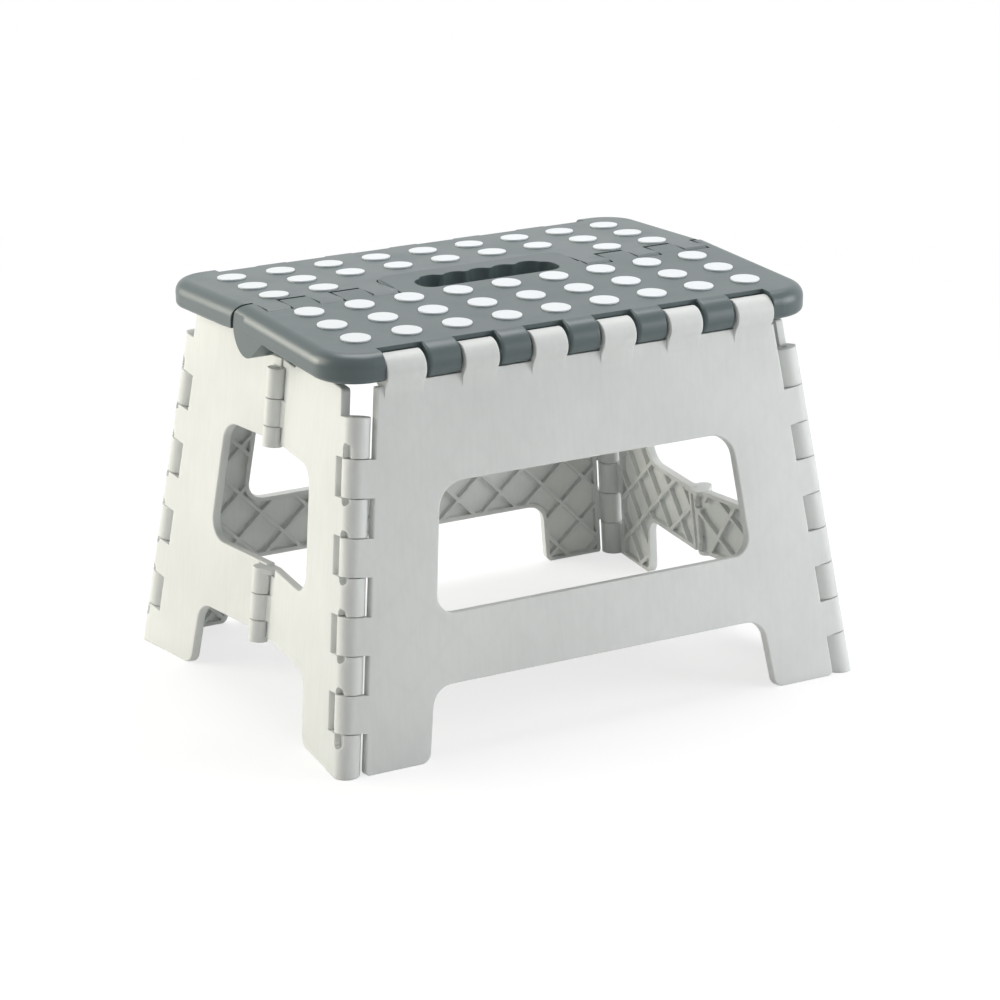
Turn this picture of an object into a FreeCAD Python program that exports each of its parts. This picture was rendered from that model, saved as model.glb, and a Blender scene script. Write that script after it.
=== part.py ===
import FreeCAD, Part
import math
import os

V = FreeCAD.Vector

# A folding step stool. Lengths in mm, +Z up, +X along the top, front towards -Y,
# origin on the floor below the middle of the top.

# Main sizes
TOP_HEIGHT = 220.0          # top surface at the centre ridge
TOP_HALF_LENGTH = 147.0
TOP_REACH = 106.0           # front edge of the top from the ridge

# Other heights and lengths stretch with the main sizes, from a stool of these sizes
HIGH = TOP_HEIGHT / 220.0
LONG = TOP_HALF_LENGTH / 147.0
DEEP = TOP_REACH / 106.0


def stretched(values, share):
    """Places, or spans of places, multiplied by a share."""
    return tuple(stretched(v, share) if isinstance(v, tuple) else v * share for v in values)


# Edge hinge line between a leg and its half of the top, and ridge hinge line between the halves
EDGE_Y = TOP_REACH - 8.0
EDGE_Z = TOP_HEIGHT - 14.5
RIDGE_Z = TOP_HEIGHT - 12.3

# Stance: a run is the inward travel per unit of height
CROWN_DEG = 2.1             # fall of each half of the top from the ridge
LEG_FOOT_Y = TOP_REACH + 22.0   # outer face of a leg at the floor
EDGE_SET = 2.508            # edge hinge line behind that face, level
LEG_RUN = (LEG_FOOT_Y - EDGE_Y - EDGE_SET) / EDGE_Z
CORNER_FOOT_X = 153.0 * LONG    # corner hinge line at the floor
CORNER_HEAD_X = 126.737 * LONG  # the same line at the height of the edge hinge
CORNER_RUN = (CORNER_FOOT_X - CORNER_HEAD_X) / EDGE_Z
END_FOLD_DEG = 6.69         # inward set of each half of an end

# Panels of the legs and ends
PANEL = 5.0
SKIN = 2.2
RIM = 2.6
RIB = 2.2
LATTICE = 28.8              # spacing of the crossing ribs
LEG_LATTICE_AT = (0.0, 9.3)
END_LATTICE_AT = (7.7, -7.2)
FACE_ROUND = 0.8            # rounding of the outer edges
FOOT_CORNER_R = 2.5
CUTOUT_R = 12.0

# Legs: half widths are given at the floor with their run
LEG_TOP_Z = TOP_HEIGHT - 20.0   # trimmed to the swing of the top's front edge
LEG_TOP_R = 3.0
LEG_FOOT_X = 107.2 * LONG
LEG_FOOT_RUN = 0.1522
LEG_FOOT_R = 6.0
LEG_CUTOUT_Z = 38.9 * HIGH
LEG_WINDOW_LOW_Z = 75.9 * HIGH
LEG_WINDOW_HIGH_Z = 143.8 * HIGH
LEG_WINDOW_X = 105.5 * LONG
LEG_WINDOW_RUN = 0.1161
LEG_WINDOW_LOW_R = 10.0
LEG_WINDOW_HIGH_R = 15.0

# End halves: distances from the middle are given at the floor with their run
END_TOP_Z = TOP_HEIGHT - 23.6
END_DIP_Z = TOP_HEIGHT - 30.0   # lower top edge beside the middle hinge
END_DIP_Y = 20.0
END_DIP_R = 2.0
END_FOOT_Y = LEG_FOOT_Y - 57.6
END_FOOT_RUN = 0.1437
END_FOOT_R = 8.0
END_CUTOUT_Z = 37.6 * HIGH
END_WINDOW_LOW_Z = 77.0 * HIGH
END_WINDOW_HIGH_Z = 144.3 * HIGH
END_WINDOW_Y = LEG_FOOT_Y - 59.9
END_WINDOW_RUN = 0.1151
END_SPLIT = 0.8             # half of the split between the two halves

# Corner hinges
CORNER_R = 7.0
CORNER_PIN_R = 1.9
CORNER_MARKS_Z = stretched((0.0, 22.0, 42.0, 62.0, 82.0, 102.0, 122.0, 142.0, 162.0, 183.0), HIGH)
LEG_EDGE_GAP = 0.8          # leg edge to the end's knuckles
END_EDGE = 10.2             # plain end edge from the hinge line
END_SHOULDER = 5.3          # end edge above the knuckles, from the hinge line
END_SHOULDER_Z = 172.0 * HIGH
WEB_LAP = 2.0               # web of a knuckle runs this far into its panel
SNAP_WIDTH = 5.6
SNAP_LONG = 8.0
SNAP_SHORT = 4.0
SNAP_DEPTH = 3.4
SNAP_OFFSET = -2.4          # snap slots from the hinge line, away from the panel
CORNER_PIN_LOW_Z = 4.0
CORNER_PIN_HIGH_Z = CORNER_MARKS_Z[-1] - 2.0

# Middle hinge of the ends: rear, front, rear knuckles in each group
END_BARREL_R = 5.5
END_BARREL_OUT = 2.6        # hinge line outside the outer face
END_GROOVE_GAP = 0.8
END_RAMP_RISE = 3.6
END_RAMP_RUN = 9.0
END_SIGHT_NEAR = 1.6        # sight slots of a front half, from the hinge line
END_SIGHT_FAR = 10.0
END_SIGHT_HEIGHT = 5.0
END_PIN_R = 1.6
END_PIN_SET = 1.0           # pin ends inside the barrel ends
UPPER_MARKS_Z = stretched((142.7, 154.3, 169.4, 185.9), HIGH)
LOWER_MARKS_Z = stretched((34.6, 47.1, 61.9, 73.7), HIGH)
CAP = 2.8                   # cap of a rear half over the lower barrels
CAP_REACH = 8.5             # past the hinge line, over the front half
CAP_R = 2.0
CAP_GAP = 0.6

# Halves of the top
TOP_CORNER_R = 23.5
TOP_DEPTH = 15.0
TOP_PLATE = 3.0
TOP_WALL = 4.0
TOP_ROUND = 7.0
TOP_UNDER_ROUND = 3.0
TOP_RIB = 2.2
TOP_RIB_DROP = 4.5
TOP_RIB_PITCH_X = 42.0 * LONG
TOP_RIB_PITCH_Y = 23.0 * DEEP
FRONT_WALL = TOP_REACH - 20.0   # inner side of the front wall from the ridge
FRONT_SLOT = TOP_REACH - 11.7   # back of the slot for the leg's knuckles
SLOT_HALF_LENGTH = 117.2 * LONG
RIDGE_WALL = 18.5           # inner side of the ridge wall from the ridge
RIDGE_TRIM_START = 40.0     # the underside rises from here to the ridge, so that the halves can close
RIDGE_TRIM_RISE = 3.0

# Edge hinge between a leg and its half of the top
EDGE_KNUCKLE_R = 8.8
EDGE_KNUCKLE_GAP = 0.6
EDGE_BLEND_R = 12.0         # hollow rounding below the knuckles
EDGE_PIN_R = 2.0
EDGE_PIN_END = SLOT_HALF_LENGTH - 0.8
EDGE_SPANS = stretched(((11.2, 30.3), (52.0, 71.5), (94.4, 116.6)), LONG)
BARREL_SPANS = stretched(((31.0, 51.3), (72.2, 93.7)), LONG)
BARREL_MIDDLE_HALF = 10.5 * LONG
BARREL_FRONT_R = 6.9
BARREL_END_R = 1.6
BARREL_SIDE_GAP = 2.4       # extra room at one end of each barrel
BARREL_SWING_GAP = 0.5
CORNER_SWING_R = 8.2        # room for the swing of the top's corners

# Ridge hinge between the two halves of the top
LOBE_R = 14.2
LOBE_GAP = 1.95
FRONT_LOBES = stretched(((74.0, 91.0), (106.0, 122.0), (137.0, 146.4)), LONG)
REAR_LOBES = stretched(((58.7, 73.4), (91.6, 105.4), (122.6, 136.4)), LONG)
LOBE_END_GAP = 0.6
FLANK_START = 24.0          # the end lobes rise to the underside here, from the ridge
RIDGE_PIN_R = 2.2
RIDGE_PIN_IN = 50.5 * LONG
RIDGE_PIN_OUT = 143.0 * LONG
RIDGE_PIN_SLACK = 1.85      # this hinge floats a little while folding

# Handle tongue of the front half and its finger slot
TONGUE_HALF = 58.0 * LONG
TONGUE_END = 24.5
TONGUE_R = 9.0
TONGUE_DEPTH = 10.0
TONGUE_GAP = 0.7
TONGUE_WALL = 3.0
TONGUE_ROUND = 1.5
TONGUE_BOSS_R = 6.0
TONGUE_BOSS_IN = 46.5 * LONG
GRIP_HALF = 43.5 * LONG
GRIP_FRONT = 9.5
GRIP_REAR = 8.8
GRIP_R = 8.0
FINGER_PITCH = 15.0 * LONG
FINGER_R = 8.6
FINGER_CENTRE = 4.6
FINGERS_EACH_SIDE = 2
FINGER_CREST_R = 3.0         # rounding between the finger hollows

# Dots set into the top
DOT_R = 7.95
DOT_FIT = 0.05
DOT_SET = 0.8
DOT_PROUD = 0.2
DOT_PITCH_X = 29.65 * LONG
DOT_COLUMNS_EACH_SIDE = 4
DOT_ROWS = stretched((21.35, 48.1, 74.85), DEEP)
HANDLE_ROW_FIRST_COLUMN = 3  # the rear row at the handle keeps only its outer columns

# Fits and gaps
RUN = 0.05                  # running clearance of a pin, on the radius
AXIAL_GAP = 0.5             # between neighbouring knuckles
PIN_END_GAP = 0.5
OPEN_SLACK = 0.8            # extra bore of the right end's middle hinge
OVER = 1.0                  # overshoot of cutting bodies
TINY = 1e-6

LEAN = math.atan(LEG_RUN)
CROWN = math.radians(CROWN_DEG)
FOLD_TAN = math.tan(math.radians(END_FOLD_DEG))
X = V(1, 0, 0)
Y = V(0, 1, 0)
Z = V(0, 0, 1)
ORIGIN = V(0, 0, 0)


def frame(origin, along_y, along_z):
    """Placement with its y and z axes along two square directions."""
    y = V(along_y).normalize()
    z = V(along_z).normalize()
    x = y.cross(z)
    return FreeCAD.Placement(FreeCAD.Matrix(
        x.x, y.x, z.x, origin.x,
        x.y, y.y, z.y, origin.y,
        x.z, y.z, z.z, origin.z,
        0, 0, 0, 1))


def placed(shape, place):
    """Copy of a shape moved from a local frame into the stool's frame."""
    moved = shape.copy()
    moved.Placement = place.multiply(moved.Placement)
    return moved


def mirror_x(shape):
    """Copy of a shape on the other end of the stool."""
    return shape.mirror(ORIGIN, X)


def mirror_y(shape):
    """Copy of a shape on the other side of the ridge."""
    return shape.mirror(ORIGIN, Y)


def half_turn(shape):
    """Copy of a shape turned half a turn about the upright middle line."""
    turned = shape.copy()
    turned.rotate(ORIGIN, Z, 180)
    return turned


def both_ends(spans):
    """Spans of x together with their mirror images."""
    return list(spans) + [(-high, -low) for low, high in spans]


def rounded_face(corners):
    """Flat face through corners (x, y, radius) in order, each rounded by its radius."""
    count = len(corners)
    points = [V(corner[0], corner[1], 0) for corner in corners]
    turns = []
    for i in range(count):
        back = (points[i - 1] - points[i]).normalize()
        ahead = (points[(i + 1) % count] - points[i]).normalize()
        half = back.getAngle(ahead) / 2
        radius = corners[i][2]
        reach = radius / math.tan(half)
        rise = radius / math.sin(half) - radius
        middle = points[i] + (back + ahead).normalize() * rise
        turns.append((points[i] + back * reach, middle, points[i] + ahead * reach))
    edges = []
    for i in range(count):
        start, middle, end = turns[i]
        if corners[i][2] > 0:
            edges.append(Part.Arc(start, middle, end).toShape())
        following = turns[(i + 1) % count][0]
        if (following - end).Length > TINY:
            edges.append(Part.makeLine(end, following))
    return Part.Face(Part.Wire(edges))


def inset(corners, depth):
    """Corners of an anticlockwise outline moved inward by a depth, with their radii."""
    count = len(corners)
    moved = []
    for i in range(count):
        here = V(corners[i][0], corners[i][1], 0)
        last = V(corners[i - 1][0], corners[i - 1][1], 0)
        following = V(corners[(i + 1) % count][0], corners[(i + 1) % count][1], 0)
        arrive = (here - last).normalize()
        leave = (following - here).normalize()
        left_in = Z.cross(arrive)
        left_out = Z.cross(leave)
        shift = (left_in + left_out) * (depth / (1 + left_in.dot(left_out)))
        change = -depth if arrive.cross(leave).z > 0 else depth
        moved.append((here.x + shift.x, here.y + shift.y, max(corners[i][2] + change, 0)))
    return moved


def prism(corners, low, high):
    """Straight body over a rounded outline between two local heights."""
    face = rounded_face(corners)
    face.translate(V(0, 0, low))
    return face.extrude(V(0, 0, high - low))


def box(low, high):
    """Box between two corners."""
    size = V(high) - V(low)
    return Part.makeBox(size.x, size.y, size.z, V(low))


def rod_x(span, y, z, radius):
    """Round bar along x over a span."""
    return Part.makeCylinder(radius, span[1] - span[0], V(span[0], y, z), X)


def rounded_edges(solid, height, radius, keep=lambda edge: True):
    """Solid with the edges that lie wholly at one local height rounded."""
    chosen = []
    for edge in solid.Edges:
        bounds = edge.BoundBox
        if abs(bounds.ZMin - height) < TINY and abs(bounds.ZMax - height) < TINY and keep(edge):
            chosen.append(edge)
    return solid.makeFillet(radius, chosen)


def rib_recesses(outline, openings, at):
    """Recesses behind a panel's skin, split by diagonal ribs that cross at a given point."""
    region = prism(inset(outline, RIM), -PANEL - OVER, -SKIN)
    for opening in openings:
        region = region.cut(prism(inset(opening, -RIM), -PANEL - OVER, -SKIN))
    bounds = region.BoundBox
    length = bounds.DiagonalLength * 2
    ribs = []
    for turn in (45, -45):
        if turn > 0:
            ends = (bounds.XMin - bounds.YMax, bounds.XMax - bounds.YMin)
            start = at[0] - at[1]
        else:
            ends = (bounds.XMin + bounds.YMin, bounds.XMax + bounds.YMax)
            start = at[0] + at[1]
        first = math.ceil((ends[0] - start) / LATTICE)
        last = math.floor((ends[1] - start) / LATTICE)
        for index in range(first, last + 1):
            rib = Part.makeBox(length, RIB, PANEL + OVER, V(-length / 2, -RIB / 2, -PANEL - OVER))
            rib.rotate(ORIGIN, Z, turn)
            rib.translate(V(start + index * LATTICE, 0, 0))
            ribs.append(rib)
    return region.cut(ribs)


def panel(outline, openings, lattice_at):
    """Ribbed panel with its outer face at local height 0."""
    plate = prism(outline, -PANEL, 0)
    for opening in openings:
        plate = plate.cut(prism(opening, -PANEL - OVER, OVER))
    plate = rounded_edges(plate, 0, FACE_ROUND)
    return plate.cut(rib_recesses(outline, openings, lattice_at))


def on_floor(shape):
    """Shape with everything below the floor trimmed away."""
    bounds = shape.BoundBox
    low = V(bounds.XMin - OVER, bounds.YMin - OVER, bounds.ZMin - OVER)
    high = V(bounds.XMax + OVER, bounds.YMax + OVER, 0)
    return shape.cut(box(low, high)) if bounds.ZMin < 0 else shape


# Frames of the panels and the hinge lines
LEG_OUT = V(0, -math.cos(LEAN), math.sin(LEAN))
LEG_UP = V(0, math.sin(LEAN), math.cos(LEAN))
LEG_PLACE = frame(V(0, -LEG_FOOT_Y, 0), LEG_UP, LEG_OUT)
CORNER_LINE = V(CORNER_RUN, math.tan(LEAN), 1)
CORNER_FOOT = V(-CORNER_FOOT_X, -LEG_FOOT_Y + CORNER_R / math.cos(LEAN), 0)
END_RUN = CORNER_RUN - math.tan(LEAN) * FOLD_TAN
END_OUT = V(-1, FOLD_TAN, END_RUN).normalize()
END_PLACE = frame(CORNER_FOOT + END_OUT * CORNER_R, CORNER_LINE, END_OUT)
END_FOOT_POINT = END_PLACE.Base
END_MIDDLE_X = END_FOOT_POINT.x + (END_OUT.y * END_FOOT_POINT.y + END_OUT.z * END_FOOT_POINT.z) / END_OUT.x
MIDDLE_LINE = V(END_RUN, 0, 1)
MIDDLE_FOOT = V(END_MIDDLE_X + END_BARREL_OUT / END_OUT.x, 0, 0)
TOP_PLACE = frame(V(0, 0, TOP_HEIGHT), V(0, math.cos(CROWN), math.sin(CROWN)),
                  V(0, -math.sin(CROWN), math.cos(CROWN)))
EDGE_LOCAL = TOP_PLACE.inverse().multVec(V(0, -EDGE_Y, EDGE_Z))
RIDGE_LOCAL = TOP_PLACE.inverse().multVec(V(0, 0, RIDGE_Z))


def leg_corner(x, z, radius):
    """Corner of a leg outline from its place in the front view."""
    return (x, z / math.cos(LEAN), radius)


def leg_edge(z):
    """Half width of a leg beside the corner knuckles."""
    line = CORNER_FOOT_X - CORNER_RUN * (z - CORNER_R * math.sin(LEAN))
    return line - (CORNER_R + LEG_EDGE_GAP) * math.hypot(1, CORNER_RUN * math.cos(LEAN))


def end_corner(y, z, radius):
    """Corner of an end outline from its distance from the middle and its height."""
    x = END_MIDDLE_X + FOLD_TAN * -y + END_RUN * z
    local = END_PLACE.inverse().multVec(V(x, -y, z))
    return (local.x, local.y, radius)


def end_edge(offset, z, radius):
    """Corner of an end outline at an offset from the corner hinge line and a height."""
    along = END_PLACE.Rotation.multVec(Y)
    across = END_PLACE.Rotation.multVec(X)
    return (-offset, (z - END_PLACE.Base.z + offset * across.z) / along.z, radius)


def corner_hinge(outward, side, reach, marks, bore):
    """Knuckles with webs on the front left corner line, for one panel."""
    place = frame(CORNER_FOOT, outward, CORNER_LINE)
    scale = CORNER_LINE.Length
    pieces = []
    for low, high in marks:
        start = low * scale + AXIAL_GAP / 2
        end = high * scale - AXIAL_GAP / 2
        if low == CORNER_MARKS_Z[0]:
            start = -CORNER_R
        pieces.append(Part.makeCylinder(CORNER_R, end - start, V(0, 0, start)))
        near = min(0, side * reach)
        far = max(0, side * reach)
        pieces.append(box(V(near, CORNER_R - PANEL, start), V(far, CORNER_R, end)))
    drilled = Part.makeCylinder(bore, CORNER_MARKS_Z[-1] * scale,
                                V(0, 0, CORNER_PIN_LOW_Z * scale - PIN_END_GAP))
    return pieces, drilled, place


def snap_slots(marks):
    """Slots beside the knuckles of an end, rounded at their blind ends."""
    scale = CORNER_LINE.Length
    slots = []
    for low, high in marks:
        first = low == CORNER_MARKS_Z[0]
        last = high == CORNER_MARKS_Z[-1]
        length = SNAP_LONG if first or last else SNAP_SHORT
        mouths = []
        if not first:
            mouths.append((low, 1))
        if not last:
            mouths.append((high, -1))
        for mark, way in mouths:
            mouth = mark * scale
            blind = mouth + way * (length - SNAP_WIDTH / 2)
            floor = CORNER_R - SNAP_DEPTH
            near = V(SNAP_OFFSET - SNAP_WIDTH / 2, floor, min(mouth, blind))
            far = V(SNAP_OFFSET + SNAP_WIDTH / 2, CORNER_R + OVER, max(mouth, blind))
            slots.append(box(near, far))
            centre = V(SNAP_OFFSET, floor, blind)
            slots.append(Part.makeCylinder(SNAP_WIDTH / 2, SNAP_DEPTH + OVER, centre, Y))
    return slots


def mark_pairs(first):
    """Every second pair of corner marks, starting with the first or the second."""
    pairs = list(zip(CORNER_MARKS_Z[:-1], CORNER_MARKS_Z[1:]))
    return pairs[first::2]


def knuckle_blend(span):
    """Hollow rounding between an edge knuckle and the leg's outer face, in the leg's frame."""
    axis = LEG_PLACE.inverse().multVec(V(0, -EDGE_Y, EDGE_Z))
    sunk = -axis.z
    drop = math.sqrt((EDGE_KNUCKLE_R + EDGE_BLEND_R) ** 2 - (EDGE_BLEND_R + sunk) ** 2)
    centre = V(0, axis.y - drop, EDGE_BLEND_R)
    low = V(0, axis.y - drop, 0)
    high = axis + (centre - axis).normalize() * EDGE_KNUCKLE_R
    middle = centre + ((low - centre) + (high - centre)).normalize() * EDGE_BLEND_R
    root = V(0, axis.y - drop, -SKIN)
    face = Part.Face(Part.Wire([Part.Arc(low, middle, high).toShape(), Part.makeLine(high, axis),
                                Part.makeLine(axis, root), Part.makeLine(root, low)]))
    face.translate(V(span[0], 0, 0))
    return face.extrude(V(span[1] - span[0], 0, 0))


def make_leg():
    """Front leg: ribbed panel, corner knuckles on both sides, hinge knuckles along its top."""
    foot = LEG_FOOT_X
    inner = LEG_FOOT_X - LEG_FOOT_RUN * LEG_CUTOUT_Z
    right = [leg_corner(foot, 0, LEG_FOOT_R), leg_corner(leg_edge(0), 0, FOOT_CORNER_R),
             leg_corner(leg_edge(LEG_TOP_Z), LEG_TOP_Z, LEG_TOP_R)]
    left = [(-x, y, radius) for x, y, radius in reversed(right)]
    cutout = [leg_corner(-inner, LEG_CUTOUT_Z, CUTOUT_R), leg_corner(inner, LEG_CUTOUT_Z, CUTOUT_R)]
    outline = right + left + cutout
    low = LEG_WINDOW_X - LEG_WINDOW_RUN * LEG_WINDOW_LOW_Z
    high = LEG_WINDOW_X - LEG_WINDOW_RUN * LEG_WINDOW_HIGH_Z
    window = [leg_corner(-low, LEG_WINDOW_LOW_Z, LEG_WINDOW_LOW_R),
              leg_corner(low, LEG_WINDOW_LOW_Z, LEG_WINDOW_LOW_R),
              leg_corner(high, LEG_WINDOW_HIGH_Z, LEG_WINDOW_HIGH_R),
              leg_corner(-high, LEG_WINDOW_HIGH_Z, LEG_WINDOW_HIGH_R)]
    leg = on_floor(placed(panel(outline, [window], LEG_LATTICE_AT), LEG_PLACE))
    slot = (-SLOT_HALF_LENGTH, SLOT_HALF_LENGTH)
    swings = [rod_x(slot, -EDGE_Y, EDGE_Z, BARREL_FRONT_R + BARREL_SWING_GAP)]
    for span in both_ends([(SLOT_HALF_LENGTH - EDGE_KNUCKLE_GAP, TOP_HALF_LENGTH)]):
        swings.append(rod_x(span, -EDGE_Y, EDGE_Z, CORNER_SWING_R))
    leg = leg.cut(swings)
    reach = CORNER_R + LEG_EDGE_GAP + WEB_LAP
    pieces, drilled, place = corner_hinge(LEG_OUT, -1, reach, mark_pairs(1), CORNER_PIN_R)
    knuckles = [placed(piece, place) for piece in pieces]
    bores = [placed(drilled, place)]
    knuckles += [mirror_x(piece) for piece in knuckles]
    bores += [mirror_x(piece) for piece in bores]
    foot_of_web = (LEG_TOP_Z - EDGE_KNUCKLE_R) / math.cos(LEAN)
    head_of_web = EDGE_Z / math.cos(LEAN)
    for span in both_ends(EDGE_SPANS):
        web = box(V(span[0], foot_of_web, -PANEL), V(span[1], head_of_web, 0))
        knuckles.append(placed(web, LEG_PLACE))
        knuckles.append(placed(knuckle_blend(span), LEG_PLACE))
        knuckles.append(rod_x(span, -EDGE_Y, EDGE_Z, EDGE_KNUCKLE_R))
        bores.append(rod_x((span[0] - OVER, span[1] + OVER), -EDGE_Y, EDGE_Z, EDGE_PIN_R))
    return leg.fuse(knuckles).cut(bores).removeSplitter()


def end_outline():
    """Outline of the front left end half, open to the middle at its window."""
    inner = END_FOOT_Y - END_FOOT_RUN * END_CUTOUT_Z
    low = END_WINDOW_Y - END_WINDOW_RUN * END_WINDOW_LOW_Z
    high = END_WINDOW_Y - END_WINDOW_RUN * END_WINDOW_HIGH_Z
    return [end_edge(END_EDGE, 0, FOOT_CORNER_R),
            end_edge(END_EDGE, END_SHOULDER_Z, 0),
            end_edge(END_SHOULDER, END_SHOULDER_Z, 0),
            end_edge(END_SHOULDER, END_TOP_Z, END_DIP_R),
            end_corner(END_DIP_Y, END_TOP_Z, END_DIP_R),
            end_corner(END_DIP_Y, END_DIP_Z, END_DIP_R),
            end_corner(END_SPLIT, END_DIP_Z, 0),
            end_corner(END_SPLIT, END_WINDOW_HIGH_Z, 0),
            end_corner(high, END_WINDOW_HIGH_Z, CUTOUT_R),
            end_corner(low, END_WINDOW_LOW_Z, CUTOUT_R),
            end_corner(END_SPLIT, END_WINDOW_LOW_Z, 0),
            end_corner(END_SPLIT, END_CUTOUT_Z, 0),
            end_corner(inner, END_CUTOUT_Z, CUTOUT_R),
            end_corner(END_FOOT_Y, 0, END_FOOT_R)]


def middle_marks(front):
    """Middle hinge spans of the front half, or of the rear half."""
    spans = []
    for marks in (LOWER_MARKS_Z, UPPER_MARKS_Z):
        pairs = list(zip(marks[:-1], marks[1:]))
        spans += pairs[1:2] if front else pairs[0::2]
    return spans


def hinge_cap(low):
    """Cap over the lower barrels, reaching past the hinge line, in the middle hinge's frame."""
    inner = -END_BARREL_OUT - PANEL
    side = END_BARREL_R * math.sqrt(0.5)
    corners = [(-END_RAMP_RUN, inner, 0), (CAP_REACH, inner, CAP_R), (CAP_REACH, 0, CAP_R),
               (side, side, 0), (-END_RAMP_RUN, -END_BARREL_OUT, 0)]
    disc = Part.makeCylinder(END_BARREL_R, CAP, V(0, 0, low))
    return prism(corners, low, low + CAP).fuse(disc)


def make_end_half(front, bore):
    """End half in the front left place, with the middle knuckles of a front or a rear half."""
    half = on_floor(placed(panel(end_outline(), [], END_LATTICE_AT), END_PLACE))
    reach = END_EDGE + WEB_LAP
    pieces, drilled, place = corner_hinge(END_OUT, 1, reach, mark_pairs(0), CORNER_PIN_R + RUN)
    knuckles = [on_floor(placed(piece, place)) for piece in pieces]
    cuts = [placed(drilled, place)]
    cuts += [placed(slot, place) for slot in snap_slots(mark_pairs(0))]
    middle = frame(MIDDLE_FOOT, END_OUT, MIDDLE_LINE)
    scale = MIDDLE_LINE.Length
    groove_r = END_BARREL_R + END_GROOVE_GAP
    for low, high in middle_marks(not front):
        start = low * scale - AXIAL_GAP
        groove = Part.makeCylinder(groove_r, (high - low) * scale + 2 * AXIAL_GAP, V(0, 0, start))
        half = half.cut(placed(groove, middle))
        if front:
            centre = (low + high) / 2 * scale
            near = V(-END_SIGHT_FAR, -END_BARREL_OUT - PANEL - OVER, centre - END_SIGHT_HEIGHT / 2)
            far = V(-END_SIGHT_NEAR, -END_BARREL_OUT - SKIN, centre + END_SIGHT_HEIGHT / 2)
            half = half.cut(placed(box(near, far), middle))
    for low, high in middle_marks(front):
        start = low * scale + AXIAL_GAP / 2
        length = (high - low) * scale - AXIAL_GAP
        ramp = [(-END_RAMP_RUN, -END_BARREL_OUT, 0), (0, -END_BARREL_OUT, 0),
                (0, END_RAMP_RISE - END_BARREL_OUT, 0)]
        barrel = Part.makeCylinder(END_BARREL_R, length, V(0, 0, start))
        knuckles.append(placed(barrel, middle))
        knuckles.append(placed(prism(ramp, start, start + length), middle))
        hole = Part.makeCylinder(bore, length + 2 * OVER, V(0, 0, start - OVER))
        cuts.append(placed(hole, middle))
    cap_low = LOWER_MARKS_Z[-1] * scale - AXIAL_GAP / 2
    if front:
        room_r = math.hypot(CAP_REACH, END_BARREL_OUT + PANEL) + CAP_GAP
        room = Part.makeCylinder(room_r, CAP + PANEL, V(0, 0, cap_low - CAP_GAP))
        half = half.cut(placed(room, middle))
    else:
        knuckles.append(placed(hinge_cap(cap_low), middle))
    return half.fuse(knuckles).cut(cuts).removeSplitter()


def top_outline(back):
    """Plan outline of a half of the top, carried back past the ridge."""
    return [(-TOP_HALF_LENGTH, -TOP_REACH, TOP_CORNER_R), (TOP_HALF_LENGTH, -TOP_REACH, TOP_CORNER_R),
            (TOP_HALF_LENGTH, back, 0), (-TOP_HALF_LENGTH, back, 0)]


def top_blank(depth, back):
    """Body over the top's outline with its upper rim rounded."""
    def on_rim(edge):
        return edge.BoundBox.YMin < back - TINY
    return rounded_edges(prism(top_outline(back), -depth, 0), 0, TOP_ROUND, on_rim)


def top_recess(front):
    """Hollow below the top plate, crossed by ribs."""
    side = TOP_HALF_LENGTH - TOP_WALL
    hollow = box(V(-side, -FRONT_WALL, -TOP_DEPTH - OVER), V(side, -RIDGE_WALL, -TOP_PLATE))
    keep = []
    drop = -TOP_PLATE - TOP_RIB_DROP
    for index in range(-math.floor(side / TOP_RIB_PITCH_X), math.floor(side / TOP_RIB_PITCH_X) + 1):
        x = index * TOP_RIB_PITCH_X
        keep.append(box(V(x - TOP_RIB / 2, -FRONT_WALL, drop), V(x + TOP_RIB / 2, -RIDGE_WALL, 0)))
    for index in range(1, math.floor((FRONT_WALL - RIDGE_WALL) / TOP_RIB_PITCH_Y)):
        y = -FRONT_WALL + index * TOP_RIB_PITCH_Y
        keep.append(box(V(-side, y - TOP_RIB / 2, drop), V(side, y + TOP_RIB / 2, 0)))
    if not front:
        wall = TONGUE_GAP + TONGUE_WALL
        low = V(-TONGUE_HALF - wall, -TONGUE_END - wall, -TOP_DEPTH - OVER)
        keep.append(box(low, V(TONGUE_HALF + wall, 0, 0)))
    return hollow.cut(keep)


def ridge_trim(wide):
    """Wedge taken off the underside towards the ridge."""
    low = V(-wide, -RIDGE_TRIM_START, -TOP_DEPTH)
    high = V(-wide, 0, -TOP_DEPTH + RIDGE_TRIM_RISE)
    under = V(-wide, 0, -TOP_DEPTH - OVER)
    wedge = Part.Face(Part.makePolygon([low, high, under, low]))
    return wedge.extrude(V(2 * wide, 0, 0))


def lobe_flank(span):
    """Slope from a lobe of the front half up to its underside."""
    centre = V(0, RIDGE_LOCAL.y, RIDGE_LOCAL.z)
    start = V(0, -FLANK_START, -TOP_DEPTH + RIDGE_TRIM_RISE)
    away = start - centre
    turn = math.atan2(away.z, away.y) + math.acos(LOBE_R / away.Length)
    touch = centre + V(0, math.cos(turn), math.sin(turn)) * LOBE_R
    face = Part.Face(Part.makePolygon([centre, start, touch, centre]))
    face.translate(V(span[0], 0, 0))
    return face.extrude(V(span[1] - span[0], 0, 0))


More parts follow.
